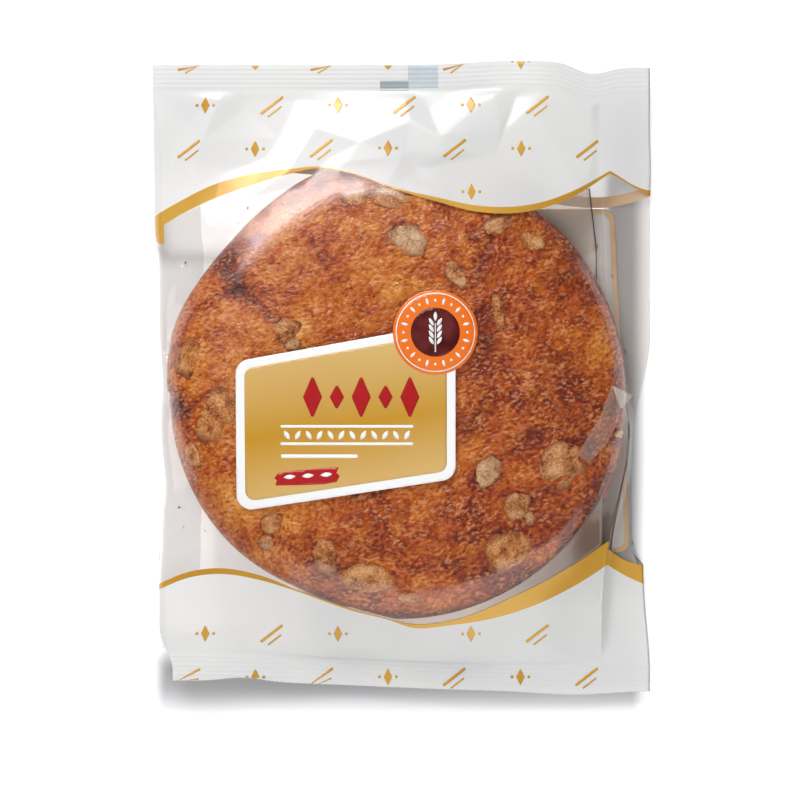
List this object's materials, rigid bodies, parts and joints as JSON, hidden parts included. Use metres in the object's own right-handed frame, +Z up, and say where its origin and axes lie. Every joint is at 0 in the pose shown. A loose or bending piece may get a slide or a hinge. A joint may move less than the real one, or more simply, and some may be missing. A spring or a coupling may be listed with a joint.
{
  "type": "walnut gata in a sealed film bag",
  "caption": "Round flat baked sweet loaf with walnut crumbs, in a clear and printed film bag crimped at both ends, lying on its back.",
  "frame": {"origin": "on the surface that the pack lies on, under the middle of the pack", "axes": "+Y from the bottom seal to the top seal, +Z up out of the shown front, +X to the right as the front is read"},
  "size_m": [0.22, 0.28, 0.0329],
  "materials": {
    "sealed_bag": "clear glossy film over a baked loaf, one colour for both",
    "clear_film": "thin clear glossy film",
    "white_print": "white ink on glossy film",
    "gold_print": "gold ink on glossy film",
    "warm_print": "orange, red and brown ink on glossy film",
    "baked_crust": "egg-washed baked crust, satin",
    "walnut_crumb": "baked sugar and walnut crumbs, dull"
  },
  "bodies": {
    "root": {"sealed_bag": "sealed_bag"}
  },
  "joints": []
}
